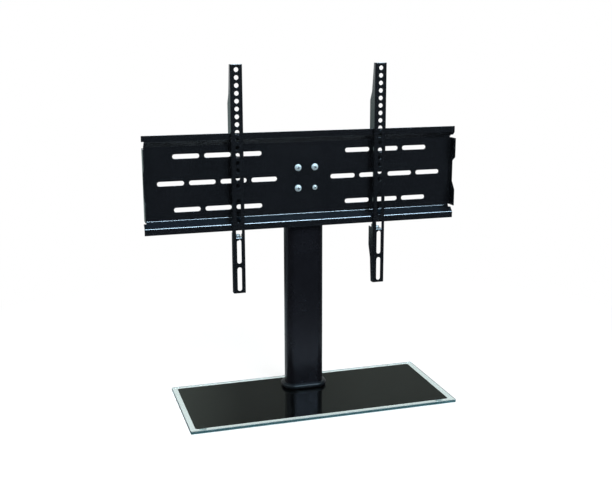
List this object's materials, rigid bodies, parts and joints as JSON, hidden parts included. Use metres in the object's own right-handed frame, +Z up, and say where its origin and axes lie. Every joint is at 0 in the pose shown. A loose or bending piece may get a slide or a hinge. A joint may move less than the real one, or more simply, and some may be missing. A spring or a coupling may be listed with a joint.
{
  "type": "tv stand",
  "caption": "Table-top television stand: glass base, upright flat-oval column, slotted mounting plate with rails, and hook-on television arms that slide sideways.",
  "frame": {"origin": "on the floor, under the middle of the mounting plate's length and of the glass base's depth", "axes": "+Z up, +Y to the back, away from the television's side, +X to the right as seen from the television's side"},
  "size_m": [0.653, 0.24, 0.6939],
  "materials": {
    "base_glass": "polished, black print on its lower side",
    "foot_rubber": "matt",
    "gasket_foam": "matt foam",
    "black_steel": "satin black powder coat",
    "black_column": "satin black paint",
    "trim_plastic": "semi-gloss black",
    "zinc": "bright zinc plate"
  },
  "bodies": {
    "stand": {"glass_base": "base_glass", "foot_front_left": "foot_rubber", "foot_front_right": "foot_rubber", "foot_rear_left": "foot_rubber", "foot_rear_right": "foot_rubber", "clamp_gasket": "gasket_foam", "column_gasket": "gasket_foam", "clamp_plate": "black_steel", "base_screw_1": "zinc", "base_screw_2": "zinc", "base_screw_3": "zinc", "base_screw_4": "zinc", "column": "black_column", "foot_ring": "trim_plastic", "column_cap": "trim_plastic", "nut_plate": "zinc", "mounting_plate": "black_steel", "left_end_flange": "black_steel", "right_end_flange": "black_steel", "plate_screw_upper_left": "zinc", "plate_screw_upper_right": "zinc", "plate_screw_lower_left": "zinc", "plate_screw_lower_right": "zinc", "plate_washer_upper_left": "zinc", "plate_washer_upper_right": "zinc", "plate_washer_lower_left": "zinc"},
    "left_arm": {"left_arm": "black_steel", "left_safety_nut": "zinc"},
    "right_arm": {"right_arm": "black_steel", "right_safety_nut": "zinc"},
    "left_safety_screw": {"left_safety_screw": "zinc"},
    "right_safety_screw": {"right_safety_screw": "zinc"}
  },
  "joints": [
    {"name": "left_arm_slide", "type": "slide", "parent": "stand", "child": "left_arm", "axis": [1, 0, 0], "range_m": [-0.1685, 0.0925]},
    {"name": "right_arm_slide", "type": "slide", "parent": "stand", "child": "right_arm", "axis": [1, 0, 0], "range_m": [-0.098, 0.153]},
    {"name": "left_safety_screw_slide", "type": "slide", "parent": "left_arm", "child": "left_safety_screw", "axis": [0, 0, 1], "range_m": [-0.004, 0.0105]},
    {"name": "right_safety_screw_slide", "type": "slide", "parent": "right_arm", "child": "right_safety_screw", "axis": [0, 0, 1], "range_m": [-0.004, 0.0105]}
  ]
}
